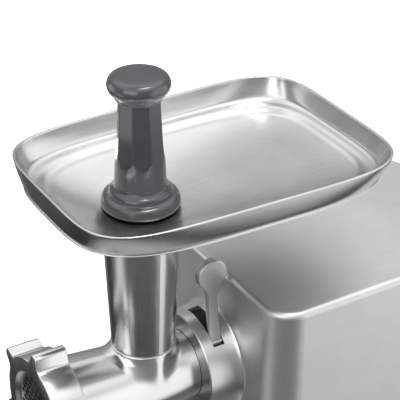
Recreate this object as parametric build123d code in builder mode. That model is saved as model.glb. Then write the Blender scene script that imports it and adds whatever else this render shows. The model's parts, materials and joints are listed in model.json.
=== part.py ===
from build123d import *
from math import acos, cos, pi, radians, sin, sqrt, tan
import os

os.makedirs("parts", exist_ok=True)

# Electric meat grinder, number 12 head. Millimetres, +X the machine's right, -Y its front, +Z up.
# The origin is on the table under the middle of the machine.

# Driving dimensions
axis_z = 160            # barrel, auger and output shaft above the table
tube_y = -102           # feed tube's axis
half_width = 94.4       # motor housing
front_y = -36
back_y = 200
housing_bottom = 12     # height of the feet
housing_top = 247.5
sheet = 2               # housing wall
front_corner = 24
rear_corner = 48

nut_front_y = -200
nut_rear_y = -173
plate_radius = 35       # 70 mm plate of a number 12 head
collar_front_y = -64.5
seat_y = -190.4         # shoulder that the plate rests on
bore_end_y = -76        # closed rear end of the barrel's bore

layshaft_z = 90         # intermediate gears
motor_z = 135           # motor shaft
case_front_y = front_y + sheet
case_open_y = 22
cover_y = 28
stator_front_y = 62
stator_rear_y = 122
motor_back_y = 156
motor_radius = 47

rim_z = axis_z + 194.4
floor_z = axis_z + 160.5    # underside of the tray's floor round the throat
tray_sheet = 1.4
tray_y = tube_y + 53.3      # middle of the tray

running = 0.05          # radial clearance of a shaft in its bush
clearance = 0.3         # between pieces that only pass each other


def lathe(z):
    """Plane through a fore-and-aft axis at height z: its x is +Y, its y is the radius."""
    return Plane(origin=(0, 0, z), x_dir=(0, 1, 0), z_dir=(1, 0, 0))


def fore_and_aft(z):
    return Axis((0, 0, z), (0, 1, 0))


def facing_front(y, z=axis_z):
    """Plane square to the barrel. An extrusion from it runs towards the front."""
    return Plane(origin=(0, y, z), x_dir=(1, 0, 0), z_dir=(0, -1, 0))


def polar(radius, degrees_from_top):
    """Point on a circle, measured from the top towards the machine's right."""
    turn = radians(degrees_from_top)
    return radius * sin(turn), radius * cos(turn)


upright = Plane(origin=(0, tube_y, 0), x_dir=(1, 0, 0), z_dir=(0, -1, 0))
tube_axis = Axis((0, tube_y, 0), (0, 0, 1))


def save(builder, name):
    builder.part.label = name
    export_step(builder.part, f"parts/{name}.step")


# ---------------------------------------------------------------- housing

def housing_outline(z, inset):
    """Plan of the motor housing, with tighter corners at the front than at the back."""
    with BuildSketch(Plane.XY.offset(z)) as plan:
        with Locations((0, (front_y + back_y) / 2)):
            Rectangle(2 * (half_width - inset), back_y - front_y - 2 * inset)
        fillet(plan.vertices().group_by(Axis.Y)[0], max(front_corner - inset, 4))
        fillet(plan.vertices().group_by(Axis.Y)[-1], rear_corner - inset)
    return plan.sketch


top_round = 5
lip_width = 24
panel_y, panel_z = 90, 84
panel_length, panel_height = 60, 40
inlet_x, inlet_z = -26, 48
inlet_width, inlet_height = 28, 21
grille_z = 175
grille_width, grille_height = 72, 48
collar_bolt_radius = 43.3
collar_bolt_places = [polar(collar_bolt_radius, angle) for angle in (60, 120, 240, 300)]
foot_spots = ((77, -18), (-77, -18), (70, 175), (-70, 175))
lip_top = housing_bottom + sheet

with BuildPart() as housing_shell:
    add(extrude(housing_outline(housing_bottom, 0), amount=housing_top - housing_bottom, mode=Mode.PRIVATE))
    fillet(housing_shell.faces().sort_by(Axis.Z)[-1].edges(), top_round)
    add(
        extrude(housing_outline(lip_top, sheet), amount=housing_top - sheet - lip_top, mode=Mode.PRIVATE),
        mode=Mode.SUBTRACT,
    )
    add(
        extrude(housing_outline(housing_bottom, lip_width), amount=sheet, mode=Mode.PRIVATE),
        mode=Mode.SUBTRACT,
    )
    with BuildSketch(facing_front(front_y + sheet)):
        Circle(24)
        with Locations(*collar_bolt_places):
            Circle(1.6)
    extrude(amount=sheet, mode=Mode.SUBTRACT)
    with BuildSketch(Plane.YZ.offset(half_width - sheet)):
        with Locations((panel_y, panel_z)):
            RectangleRounded(panel_length, panel_height, 6)
    extrude(amount=sheet, mode=Mode.SUBTRACT)
    with BuildSketch(facing_front(back_y, 0)):
        with Locations((inlet_x, inlet_z)):
            RectangleRounded(inlet_width, inlet_height, 2)
        with Locations((0, grille_z)):
            RectangleRounded(grille_width, grille_height, 6)
    extrude(amount=sheet, mode=Mode.SUBTRACT)
    with BuildSketch(Plane.XY.offset(housing_bottom)):
        with Locations(*foot_spots):
            Circle(2.1)
    extrude(amount=sheet, mode=Mode.SUBTRACT)
save(housing_shell, "housing_shell")

base_thickness = 4
base_top = lip_top + base_thickness
cradle_y = 92
cradle_bolts = ((44, cradle_y - 14), (44, cradle_y + 14), (-44, cradle_y - 14), (-44, cradle_y + 14))

with BuildPart() as base_plate:
    add(
        extrude(housing_outline(lip_top, sheet + clearance), amount=base_thickness, mode=Mode.PRIVATE)
    )
    with BuildSketch(Plane.XY.offset(lip_top)):
        with Locations(*foot_spots, *cradle_bolts):
            Circle(2.1)
        with GridLocations(0, 9, 1, 5):
            with Locations((0, 150)):
                SlotOverall(60, 3.5)
    extrude(amount=base_thickness, mode=Mode.SUBTRACT)
save(base_plate, "base_plate")

with BuildPart() as rubber_feet:
    with BuildSketch(upright):
        with BuildLine():
            Polyline(
                (4.2, 0), (9, 0), (11, housing_bottom), (2.1, housing_bottom), (2.1, 5), (4.2, 5), close=True,
            )
        make_face()
    foot = revolve(axis=tube_axis, mode=Mode.PRIVATE)
    for x, y in foot_spots:
        add(foot.moved(Location((x, y - tube_y, 0))))
save(rubber_feet, "rubber_feet")

with BuildPart() as foot_screws:
    with Locations(*[(x, y, 2) for x, y in foot_spots]):
        Cylinder(3.8, 3, align=(Align.CENTER, Align.CENTER, Align.MIN))
    with Locations(*[(x, y, 5) for x, y in foot_spots]):
        Cylinder(2, base_top, align=(Align.CENTER, Align.CENTER, Align.MIN))
save(foot_screws, "foot_screws")

with BuildPart() as foot_nuts:
    with BuildSketch(Plane.XY.offset(base_top)):
        with Locations(*foot_spots):
            RegularPolygon(4, 6)
            Circle(2.02, mode=Mode.SUBTRACT)
    extrude(amount=3)
save(foot_nuts, "foot_nuts")


# ---------------------------------------------------------------- gears

output_teeth, drive_teeth, output_module = 56, 14, 2
wheel_teeth, motor_teeth, wheel_module = 60, 12, 1.25
pressure = radians(20)
tooth_play = 0.12       # taken off each tooth flank


def gear_outline(plane, teeth, module, first_tooth):
    """Involute spur gear. first_tooth is the direction of one tooth's middle, in degrees from +X."""
    pitch = module * teeth / 2
    base = pitch * cos(pressure)
    root, tip = pitch - 1.25 * module, pitch + 0.9 * module
    flank_start = max(base, root)
    half_tooth = pi / 2 / teeth - tooth_play / pitch + tan(pressure) - pressure

    def corner(radius, middle, side):
        roll = acos(min(1, base / max(radius, base)))
        turn = middle + side * (half_tooth - tan(roll) + roll)
        return radius * cos(turn), radius * sin(turn)

    radii = [flank_start + (tip - flank_start) * step / 4 for step in range(5)]
    if base > root:
        radii = [root] + radii
    points = []
    for tooth in range(teeth):
        middle = radians(first_tooth) + 2 * pi * tooth / teeth
        points += [corner(radius, middle, -1) for radius in radii]
        points += [corner(radius, middle, 1) for radius in radii[::-1]]
    with BuildSketch(plane) as outline:
        with BuildLine():
            Polyline(*points, close=True)
        make_face()
    return outline.sketch


# ---------------------------------------------------------------- gear case

case_wall = 4.5
output_room = output_module * output_teeth / 2 + 5
wheel_room = wheel_module * wheel_teeth / 2 + 4
output_bush_radius, output_hub_radius = 22, 17
journal_radius, journal_bush_radius = 8, 11
layshaft_radius, layshaft_bush_radius = 5, 8
pinion_hole_radius = 10.5
layshaft_pocket_y = case_front_y + 2


def case_outline(plane_y, grow):
    with BuildSketch(facing_front(plane_y, 0)) as outline:
        with Locations((0, axis_z)):
            Circle(output_room + grow)
        with Locations((0, layshaft_z)):
            Circle(wheel_room + grow)
        make_hull()
    return outline.sketch


def case_bolt_places():
    upper = [polar(output_room + case_wall / 2, a) for a in (-70, 0, 70)]
    lower = [polar(wheel_room + case_wall / 2, a) for a in (110, 180, 250)]
    return [(x, axis_z + z) for x, z in upper] + [(x, layshaft_z + z) for x, z in lower]


with BuildPart() as gear_case:
    add(extrude(case_outline(case_open_y, case_wall), amount=case_open_y - case_front_y, mode=Mode.PRIVATE))
    add(
        extrude(case_outline(case_open_y, 0), amount=case_open_y - case_front_y - 8, mode=Mode.PRIVATE),
        mode=Mode.SUBTRACT,
    )
    with BuildSketch(facing_front(case_front_y + 8)):
        Circle(output_bush_radius)
        with Locations(*collar_bolt_places):
            Circle(1.6)
    extrude(amount=8, mode=Mode.SUBTRACT)
    with BuildSketch(facing_front(case_front_y + 8, layshaft_z)):
        Circle(layshaft_bush_radius)
    extrude(amount=6, mode=Mode.SUBTRACT)
    with BuildSketch(facing_front(case_open_y, 0)):
        with Locations(*case_bolt_places()):
            Circle(1.5)
    extrude(amount=14, mode=Mode.SUBTRACT)
save(gear_case, "gear_case")

motor_bolt_radius = 40.5
motor_bolt_places = [polar(motor_bolt_radius, angle) for angle in (45, 135, 225, 315)]

with BuildPart() as gear_case_cover:
    add(extrude(case_outline(cover_y, case_wall), amount=cover_y - case_open_y, mode=Mode.PRIVATE))
    with BuildSketch(facing_front(cover_y)):
        Circle(journal_bush_radius)
    with BuildSketch(facing_front(cover_y, layshaft_z)):
        Circle(layshaft_bush_radius)
    with BuildSketch(facing_front(cover_y, motor_z)):
        Circle(pinion_hole_radius)
        with Locations(*motor_bolt_places):
            Circle(2.1)
    with BuildSketch(facing_front(cover_y, 0)):
        with Locations(*case_bolt_places()):
            Circle(1.6)
    extrude(amount=cover_y - case_open_y, mode=Mode.SUBTRACT)
save(gear_case_cover, "gear_case_cover")


def lie_along(places, y, z, radius, length):
    """Round bars running forwards from y, one at each place on the plane at height z."""
    with BuildPart() as bars:
        with BuildSketch(facing_front(y, z)):
            with Locations(*places):
                Circle(radius)
        extrude(amount=length)
    return bars.part


with BuildPart() as gear_case_screws:
    add(lie_along(case_bolt_places(), cover_y + 3, 0, 2.8, 3))
    add(lie_along(case_bolt_places(), cover_y, 0, 1.48, 18))
save(gear_case_screws, "gear_case_screws")

with BuildPart() as collar_screws:
    add(lie_along(collar_bolt_places, case_front_y + 11, axis_z, 2.8, 3))
    add(lie_along(collar_bolt_places, case_front_y + 8, axis_z, 1.45, 17))
save(collar_screws, "collar_screws")


def bush(name, y_front, length, inner, outer, z):
    with BuildPart() as ring:
        with BuildSketch(facing_front(y_front + length, z)):
            Circle(outer)
            Circle(inner, mode=Mode.SUBTRACT)
        extrude(amount=length)
    save(ring, name)
    return ring.part


bush("output_front_bush", case_front_y, 8, output_hub_radius + running, output_bush_radius, axis_z)
bush("output_rear_bush", case_open_y, 6, journal_radius + running, journal_bush_radius, axis_z)

with BuildPart() as layshaft_bushes:
    for start in (layshaft_pocket_y, case_open_y):
        with BuildSketch(facing_front(start + 6, layshaft_z)):
            Circle(layshaft_bush_radius)
            Circle(layshaft_radius + running, mode=Mode.SUBTRACT)
        extrude(amount=6)
save(layshaft_bushes, "layshaft_bushes")

# ---------------------------------------------------------------- drive train

hex_across = 16
socket_front_y = -37.5
output_gear_rear_y = -2
output_gear_width = 16
shaft_end_y = cover_y - 0.5

with BuildPart() as drive_socket:
    with BuildSketch(lathe(axis_z)):
        with BuildLine():
            Polyline(
                (socket_front_y, 0), (socket_front_y, output_hub_radius), (-19, output_hub_radius), (-19, 12),
                (-1, 12), (-1, journal_radius), (shaft_end_y, journal_radius), (shaft_end_y, 0), close=True,
            )
        make_face()
    revolve(axis=fore_and_aft(axis_z))
    with BuildSketch(facing_front(socket_front_y + 16)):
        RegularPolygon(hex_across / 2 + clearance, 6, major_radius=False)
    extrude(amount=16, mode=Mode.SUBTRACT)
    chamfer(drive_socket.faces().sort_by(Axis.Y)[0].edges().filter_by(GeomType.CIRCLE), 0.8)
save(drive_socket, "drive_socket")

with BuildPart() as output_gear:
    extrude(
        gear_outline(facing_front(output_gear_rear_y), output_teeth, output_module, -90),
        amount=output_gear_width,
    )
    with BuildSketch(facing_front(output_gear_rear_y)):
        Circle(12 + running / 2)
        with PolarLocations(33, 6, 30):
            Circle(10)
    extrude(amount=output_gear_width, mode=Mode.SUBTRACT)
save(output_gear, "output_gear")

with BuildPart() as layshaft:
    with BuildSketch(facing_front(shaft_end_y, layshaft_z)):
        Circle(layshaft_radius)
    extrude(amount=shaft_end_y - layshaft_pocket_y)
save(layshaft, "layshaft")

with BuildPart() as layshaft_pinion:
    extrude(
        gear_outline(facing_front(-1, layshaft_z), drive_teeth, output_module, 90 + 180 / drive_teeth),
        amount=18,
    )
    with BuildSketch(facing_front(-1, layshaft_z)):
        Circle(layshaft_radius + running / 2)
    extrude(amount=18, mode=Mode.SUBTRACT)
save(layshaft_pinion, "layshaft_pinion")

with BuildPart() as layshaft_wheel:
    extrude(gear_outline(facing_front(14, layshaft_z), wheel_teeth, wheel_module, 90), amount=10)
    with BuildSketch(facing_front(14, layshaft_z)):
        with PolarLocations(22, 6):
            Circle(6.5)
    extrude(amount=10, mode=Mode.SUBTRACT)
    with BuildSketch(facing_front(17, layshaft_z)):
        Circle(10)
    extrude(amount=17)
    with BuildSketch(facing_front(17, layshaft_z)):
        Circle(layshaft_radius + running / 2)
    extrude(amount=17, mode=Mode.SUBTRACT)
save(layshaft_wheel, "layshaft_wheel")

# ---------------------------------------------------------------- motor

shaft_radius = 4
armature_radius = 26
coil_inner, coil_outer = 28, 37.5
cup_inner = 43.4
bearing_radius = 9
motor_front_disc_y = cover_y + 6


def motor_cup(name, disc_rear, ring_front, ring_rear):
    """End bracket of the motor: a drilled disc with a slotted ring that meets the stator."""
    with BuildPart() as cup:
        with BuildSketch(facing_front(disc_rear, motor_z)):
            Circle(motor_radius)
        extrude(amount=6)
        with BuildSketch(facing_front(ring_rear, motor_z)):
            Circle(motor_radius)
            Circle(cup_inner, mode=Mode.SUBTRACT)
        extrude(amount=ring_rear - ring_front)
        with BuildSketch(facing_front(disc_rear, motor_z)):
            Circle(bearing_radius)
            with Locations(*motor_bolt_places):
                Circle(2.1)
            with PolarLocations(25, 4, 45):
                Circle(8)
        extrude(amount=6, mode=Mode.SUBTRACT)
        with BuildSketch(facing_front(ring_rear - 6, motor_z)):
            with PolarLocations(motor_radius, 4):
                Rectangle(20, 22)
        extrude(amount=ring_rear - ring_front - 12, mode=Mode.SUBTRACT)
    save(cup, name)


motor_cup("motor_front_bracket", motor_front_disc_y, motor_front_disc_y, stator_front_y)
motor_cup("motor_rear_bracket", motor_back_y, stator_rear_y, motor_back_y - 6)

with BuildPart() as stator_core:
    with BuildSketch(facing_front(stator_rear_y, motor_z)):
        Circle(motor_radius)
        Circle(armature_radius + 0.7, mode=Mode.SUBTRACT)
        with Locations(*motor_bolt_places):
            Circle(2.1, mode=Mode.SUBTRACT)
    extrude(amount=stator_rear_y - stator_front_y)
save(stator_core, "stator_core")

with BuildPart() as field_coils:
    for start in (stator_front_y - 9, stator_rear_y):
        with BuildSketch(facing_front(start + 9, motor_z)):
            Circle(coil_outer)
            Circle(coil_inner, mode=Mode.SUBTRACT)
        extrude(amount=9)
    fillet(field_coils.edges().filter_by(GeomType.CIRCLE).group_by(Axis.Y)[0], 2.5)
    fillet(field_coils.edges().filter_by(GeomType.CIRCLE).group_by(Axis.Y)[-1], 2.5)
save(field_coils, "field_coils")

with BuildPart() as motor_bearings:
    for start in (motor_front_disc_y - 6, motor_back_y - 6):
        with BuildSketch(facing_front(start + 6, motor_z)):
            Circle(bearing_radius)
            Circle(shaft_radius + running, mode=Mode.SUBTRACT)
        extrude(amount=6)
save(motor_bearings, "motor_bearings")

with BuildPart() as motor_bolts:
    add(lie_along(motor_bolt_places, motor_back_y + 4, motor_z, 3.6, 4))
    add(lie_along(motor_bolt_places, motor_back_y, motor_z, 2, motor_back_y - case_open_y - 1))
save(motor_bolts, "motor_bolts")

with BuildPart() as motor_cradle:
    with BuildSketch(facing_front(cradle_y + 9, 0)):
        with BuildLine():
            Polyline((-36, base_top), (36, base_top), (40, motor_z - 30), (-40, motor_z - 30), close=True)
        make_face()
        with Locations((0, motor_z)):
            Circle(motor_radius, mode=Mode.SUBTRACT)
        with Locations((0, 52)):
            RectangleRounded(40, 40, 8, mode=Mode.SUBTRACT)
    extrude(amount=18)
    with BuildSketch(Plane.XY.offset(base_top)):
        with Locations((0, cradle_y)):
            RectangleRounded(102, 44, 6)
        with Locations(*cradle_bolts):
            Circle(2.1, mode=Mode.SUBTRACT)
    extrude(amount=4)
save(motor_cradle, "motor_cradle")

with BuildPart() as cradle_screws:
    with Locations(*[(x, y, base_top + 4) for x, y in cradle_bolts]):
        Cylinder(3.6, 3, align=(Align.CENTER, Align.CENTER, Align.MIN))
    with Locations(*[(x, y, lip_top) for x, y in cradle_bolts]):
        Cylinder(2, base_thickness + 4, align=(Align.CENTER, Align.CENTER, Align.MIN))
save(cradle_screws, "cradle_screws")

with BuildPart() as rotor_shaft:
    with BuildSketch(facing_front(motor_back_y + 8, motor_z)):
        Circle(shaft_radius)
    extrude(amount=motor_back_y + 6)
save(rotor_shaft, "rotor_shaft")

with BuildPart() as motor_pinion:
    extrude(
        gear_outline(facing_front(15, motor_z), motor_teeth, wheel_module, -90 + 180 / motor_teeth),
        amount=12,
    )
    with BuildSketch(facing_front(15, motor_z)):
        Circle(shaft_radius + running / 2)
    extrude(amount=12, mode=Mode.SUBTRACT)
save(motor_pinion, "motor_pinion")

with BuildPart() as armature:
    with BuildSketch(facing_front(stator_rear_y, motor_z)):
        Circle(armature_radius)
        with PolarLocations(armature_radius - 3, 12):
            Rectangle(8, 3, mode=Mode.SUBTRACT)
        Circle(shaft_radius + running / 2, mode=Mode.SUBTRACT)
    extrude(amount=stator_rear_y - stator_front_y)
save(armature, "armature")

with BuildPart() as armature_windings:
    for start in (stator_front_y - 8, stator_rear_y):
        with BuildSketch(facing_front(start + 8, motor_z)):
            Circle(armature_radius - 4)
            Circle(shaft_radius + running / 2, mode=Mode.SUBTRACT)
        extrude(amount=8)
save(armature_windings, "armature_windings")

commutator_radius = 12
with BuildPart() as commutator:
    with BuildSketch(facing_front(148, motor_z)):
        Circle(commutator_radius)
        with PolarLocations(commutator_radius, 16):
            Rectangle(1.6, 0.6, mode=Mode.SUBTRACT)
        Circle(shaft_radius + running / 2, mode=Mode.SUBTRACT)
    extrude(amount=16)
save(commutator, "commutator")

with BuildPart() as cooling_fan:
    with BuildSketch(facing_front(51, motor_z)):
        Circle(36)
    extrude(amount=2)
    with BuildSketch(facing_front(51, motor_z)):
        Circle(9)
        with PolarLocations(22, 9):
            Rectangle(26, 1.6, rotation=25)
    extrude(amount=13)
    with BuildSketch(facing_front(51, motor_z)):
        Circle(shaft_radius + running / 2)
    extrude(amount=13, mode=Mode.SUBTRACT)
save(cooling_fan, "cooling_fan")

brush_y = 140
holder_outer, holder_inner = 9, 6.2
with BuildPart() as brush_holders:
    with BuildSketch(Plane.YZ.offset(commutator_radius + 2)):
        with Locations((brush_y, motor_z)):
            Rectangle(holder_outer, holder_outer)
            Rectangle(holder_inner, holder_inner, mode=Mode.SUBTRACT)
    extrude(amount=18)
    with BuildSketch(Plane.YZ.offset(commutator_radius + 14)):
        with Locations((brush_y + 7.25, motor_z)):
            Rectangle(5.5, holder_outer)
    extrude(amount=6)
    mirror(about=Plane.YZ)
save(brush_holders, "brush_holders")

with BuildPart() as carbon_brushes:
    with BuildSketch(Plane.YZ.offset(commutator_radius + running)):
        with Locations((brush_y, motor_z)):
            Rectangle(6, 6)
    extrude(amount=16)
    mirror(about=Plane.YZ)
save(carbon_brushes, "carbon_brushes")

# ---------------------------------------------------------------- controls and power

panel_back_x = half_width - sheet - 3
button_radius = 8.8
button_back_x = panel_back_x - clearance
board_x = 75
button_spots = ((panel_y - 13, panel_z), (panel_y + 13, panel_z))
button_names = ("start_button", "reverse_button")
post_spots = [(panel_y + side * 26, panel_z + lift * 14) for side in (-1, 1) for lift in (-1, 1)]

with BuildPart() as control_panel:
    with BuildSketch(Plane.YZ.offset(panel_back_x)):
        with Locations((panel_y, panel_z)):
            RectangleRounded(panel_length + 8, panel_height + 8, 8)
    extrude(amount=3)
    with BuildSketch(Plane.YZ.offset(half_width - sheet)):
        with Locations((panel_y, panel_z)):
            RectangleRounded(panel_length - 0.4, panel_height - 0.4, 5.8)
    extrude(amount=sheet - 0.4)
    with BuildSketch(Plane.YZ.offset(panel_back_x)):
        with Locations(*button_spots):
            Circle(button_radius + clearance)
    extrude(amount=6, mode=Mode.SUBTRACT)
    with BuildSketch(Plane.YZ.offset(board_x + 1.6)):
        with Locations(*post_spots):
            Circle(3)
    extrude(amount=panel_back_x - board_x - 1.6)
save(control_panel, "control_panel")

for name, spot in zip(button_names, button_spots):
    with BuildPart() as button:
        with BuildSketch(Plane.YZ.offset(button_back_x)):
            with Locations(spot):
                Circle(button_radius)
        extrude(amount=half_width - 0.2 - button_back_x)
        fillet(button.faces().sort_by(Axis.X)[-1].edges(), 0.8)
        with BuildSketch(Plane.YZ.offset(button_back_x - 2.2)):
            with Locations(spot):
                Circle(button_radius + 1.6)
        extrude(amount=2.2)
    save(button, name)

with BuildPart() as control_board:
    with BuildSketch(Plane.YZ.offset(board_x)):
        with Locations((panel_y, panel_z)):
            Rectangle(62, 36)
    extrude(amount=1.6)
save(control_board, "control_board")

with BuildPart() as button_switches:
    with BuildSketch(Plane.YZ.offset(board_x + 1.6)):
        with Locations(*button_spots):
            Rectangle(12, 12)
    extrude(amount=4)
    with BuildSketch(Plane.YZ.offset(board_x + 5.6)):
        with Locations(*button_spots):
            Circle(2.5)
    extrude(amount=1.5)
save(button_switches, "button_switches")

inlet_depth = 17
with BuildPart() as power_inlet:
    with BuildSketch(facing_front(back_y, 0)):
        with Locations((inlet_x, inlet_z)):
            RectangleRounded(inlet_width - 0.4, inlet_height - 0.4, 1.8)
    extrude(amount=22)
    with BuildSketch(facing_front(back_y - sheet, 0)):
        with Locations((inlet_x, inlet_z)):
            RectangleRounded(inlet_width + 8, inlet_height + 8, 3)
    extrude(amount=3)
    with BuildSketch(facing_front(back_y, 0)):
        with Locations((inlet_x, inlet_z)):
            RectangleRounded(23, 16, 2)
    extrude(amount=inlet_depth, mode=Mode.SUBTRACT)
    with BuildSketch(facing_front(back_y - inlet_depth, 0)):
        with Locations((inlet_x - 7, inlet_z - 2), (inlet_x, inlet_z + 3), (inlet_x + 7, inlet_z - 2)):
            Rectangle(2.1, 4.1)
    extrude(amount=5, mode=Mode.SUBTRACT)
save(power_inlet, "power_inlet")

with BuildPart() as inlet_pins:
    with BuildSketch(facing_front(back_y - 5, 0)):
        with Locations((inlet_x - 7, inlet_z - 2), (inlet_x, inlet_z + 3), (inlet_x + 7, inlet_z - 2)):
            Rectangle(2, 4)
    extrude(amount=24)
save(inlet_pins, "inlet_pins")

with BuildPart() as rear_grille:
    with BuildSketch(facing_front(back_y - 0.4, 0)):
        with Locations((0, grille_z)):
            RectangleRounded(grille_width - 0.4, grille_height - 0.4, 5.8)
    extrude(amount=sheet - 0.4)
    with BuildSketch(facing_front(back_y - sheet, 0)):
        with Locations((0, grille_z)):
            RectangleRounded(grille_width + 8, grille_height + 8, 8)
    extrude(amount=2)
    with BuildSketch(facing_front(back_y, 0)):
        with Locations((0, grille_z)):
            with GridLocations(0, 6, 1, 7):
                SlotOverall(grille_width - 12, 3)
    extrude(amount=6, mode=Mode.SUBTRACT)
save(rear_grille, "rear_grille")

# ---------------------------------------------------------------- collar and lock

spigot_radius = 28.5
cavity_radius = 41
cavity_front_y = -57.5
slot_front_y, slot_rear_y = -55, -45
slot_start, slot_end = -14, 45      # degrees from the top, towards the machine's right
cam_start, cam_end = 13, 43.5
cam_radius = 43.4
ring_outer = cavity_radius - 0.4


def sector(start, end, inner, outer):
    """Closed outline between two radii, with round sides."""
    middle = (start + end) / 2
    with BuildLine() as outline:
        Line(polar(inner, start), polar(outer, start))
        ThreePointArc(polar(outer, start), polar(outer, middle), polar(outer, end))
        Line(polar(outer, end), polar(inner, end))
        ThreePointArc(polar(inner, end), polar(inner, middle), polar(inner, start))
    return outline.line


with BuildPart() as front_collar:
    with BuildSketch(lathe(axis_z)):
        with BuildLine():
            Polyline(
                (front_y, 48.3), (front_y, cavity_radius), (cavity_front_y, cavity_radius),
                (cavity_front_y, spigot_radius + 0.8), (collar_front_y, spigot_radius + 0.8),
                (collar_front_y, 43.2), (collar_front_y + 0.8, 44), (-50, 44.6),
            )
            Spline((-50, 44.6), (-42, 45.6), (front_y, 48.3), tangents=((1, 0.05), (1, 1)))
        make_face()
    revolve(axis=fore_and_aft(axis_z))
    with BuildSketch(facing_front(slot_rear_y)):
        with BuildLine():
            add(sector(slot_start, slot_end, 36, 55))
        make_face()
    extrude(amount=slot_rear_y - slot_front_y, mode=Mode.SUBTRACT)
    with BuildSketch(facing_front(front_y)):
        with Locations(*collar_bolt_places):
            Circle(1.47)
    extrude(amount=9, mode=Mode.SUBTRACT)
save(front_collar, "front_collar")

bush("lock_ring_spacer", slot_rear_y + clearance, front_y - slot_rear_y - clearance, 34, ring_outer, axis_z)
bush("lock_ring", slot_front_y, slot_rear_y - slot_front_y, spigot_radius + clearance, ring_outer, axis_z)

lever_y = (slot_front_y + slot_rear_y) / 2
lever_head_z = axis_z + 92.3
lever_head_radius = 13.1
lever_thickness = 6.5
lever_root_z = axis_z + 30

with BuildPart() as lock_lever:
    with BuildSketch(Plane.YZ):
        with BuildLine():
            Polyline(
                (lever_y - 4.2, lever_root_z), (lever_y + 4.2, lever_root_z), (lever_y + 4.2, lever_head_z),
                (lever_y - 4.2, lever_head_z), close=True,
            )
        make_face()
        with Locations((lever_y, lever_head_z)):
            Circle(lever_head_radius)
    extrude(amount=60)
    neck = [
        e for e in lock_lever.edges().filter_by(Axis.X)
        if lever_head_z - 20 < e.center().Z < lever_head_z - 6 and abs(e.center().Y - lever_y) < 5
    ]
    fillet(neck, 12)
    with BuildSketch(Plane.XZ):
        with BuildLine():
            outer_side = Spline(
                (28.6, lever_root_z), (25, axis_z + 45), (22.3, axis_z + 60), (21, axis_z + 80),
                (20.8, lever_head_z + 15),
            )
            Line(outer_side @ 1, outer_side @ 1 - Vector(lever_thickness, 0))
            inner_side = Spline(
                (20.8 - lever_thickness, lever_head_z + 15), (21 - lever_thickness, axis_z + 80),
                (22.3 - lever_thickness, axis_z + 60), (25 - lever_thickness, axis_z + 45),
                (28.6 - lever_thickness, lever_root_z),
            )
            Line(inner_side @ 1, outer_side @ 0)
        make_face()
    extrude(amount=120, both=True, mode=Mode.INTERSECT)
    with BuildSketch(facing_front(front_y)):
        Circle(cam_radius - 1)
    extrude(amount=40, mode=Mode.SUBTRACT)
    with BuildSketch(facing_front(slot_rear_y - 0.4)):
        with BuildLine():
            add(sector(cam_start, cam_end, ring_outer + 0.02, cam_radius))
        make_face()
    extrude(amount=slot_rear_y - slot_front_y - 0.8)
save(lock_lever, "lock_lever")

# ---------------------------------------------------------------- grinding head

thread_radius = 40.6
barrel_front = 38
barrel_rear = 28.9
head_front_y = -196.4
chamber_rear_y = -179       # the knife turns in front of this
chamber_radius = 33.8
bore_radius = 25.4
shank_radius = 12
tube_foot_z, tube_foot_radius = axis_z + 36.6, 25.6
tube_slope = (28.8 - tube_foot_radius) / 74.9
tube_wall = 3
key_radius = 1.5


def tube_outer(z):
    return tube_foot_radius + tube_slope * (z - tube_foot_z)


with BuildPart() as head_casting:
    with BuildSketch(lathe(axis_z)):
        with BuildLine():
            Polyline(
                (head_front_y, 0), (head_front_y, thread_radius), (nut_rear_y - 3, thread_radius),
                (nut_rear_y, barrel_front), (collar_front_y - 0.3, barrel_rear),
                (collar_front_y - 0.3, spigot_radius),
                (-38, spigot_radius), (-38, 0), close=True,
            )
        make_face()
    revolve(axis=fore_and_aft(axis_z))
    with BuildSketch(upright):
        with BuildLine():
            Polyline(
                (0, axis_z), (tube_outer(axis_z), axis_z), (tube_outer(floor_z), floor_z), (0, floor_z),
                close=True,
            )
        make_face()
    revolve(axis=tube_axis)
    junction = head_casting.edges().filter_by(
        lambda e: e.geom_type not in (GeomType.CIRCLE, GeomType.LINE) and e.center().Z > axis_z
    )
    fillet(junction, 4)
    with BuildSketch(lathe(axis_z)):
        with BuildLine():
            Polyline(
                (head_front_y, 0), (head_front_y, plate_radius + 0.4), (seat_y, plate_radius + 0.4),
                (seat_y, chamber_radius), (chamber_rear_y, chamber_radius), (chamber_rear_y, bore_radius),
                (bore_end_y, bore_radius), (bore_end_y, shank_radius + running),
                (-38, shank_radius + running), (-38, 0), close=True,
            )
        make_face()
    revolve(axis=fore_and_aft(axis_z), mode=Mode.SUBTRACT)
    with BuildSketch(upright):
        with BuildLine():
            Polyline(
                (0, axis_z), (tube_outer(axis_z) - tube_wall, axis_z),
                (tube_outer(floor_z) - tube_wall, floor_z), (0, floor_z), close=True,
            )
        make_face()
    revolve(axis=tube_axis, mode=Mode.SUBTRACT)
    with BuildSketch(facing_front(seat_y + 8)):
        with Locations((0, -plate_radius - 0.4)):
            Circle(key_radius + 0.02)
    extrude(amount=16, mode=Mode.SUBTRACT)
save(head_casting, "head_casting")

with BuildPart() as plate_key:
    with BuildSketch(facing_front(seat_y + 8)):
        with Locations((0, -plate_radius - 0.4)):
            Circle(key_radius)
    extrude(amount=13)
save(plate_key, "plate_key")

plate_thickness = 6
pin_hole_radius = 4.9
hole_radius = 2.25
hole_step = 6.2
plate_holes = [
    (hole_step * (column + row % 2 / 2), hole_step * row * sqrt(3) / 2)
    for row in range(-5, 6) for column in range(-5, 6)
]
plate_holes = [(x, z) for x, z in plate_holes if 8.5 < sqrt(x * x + z * z) < 30.2]

with BuildPart() as perforated_plate:
    with BuildSketch(facing_front(seat_y)):
        Circle(plate_radius)
        Circle(pin_hole_radius, mode=Mode.SUBTRACT)
        with Locations(*plate_holes):
            Circle(hole_radius, mode=Mode.SUBTRACT)
        with Locations((0, -plate_radius - 0.4)):
            Circle(key_radius + 0.3, mode=Mode.SUBTRACT)
    extrude(amount=plate_thickness)
save(perforated_plate, "perforated_plate")

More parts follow.
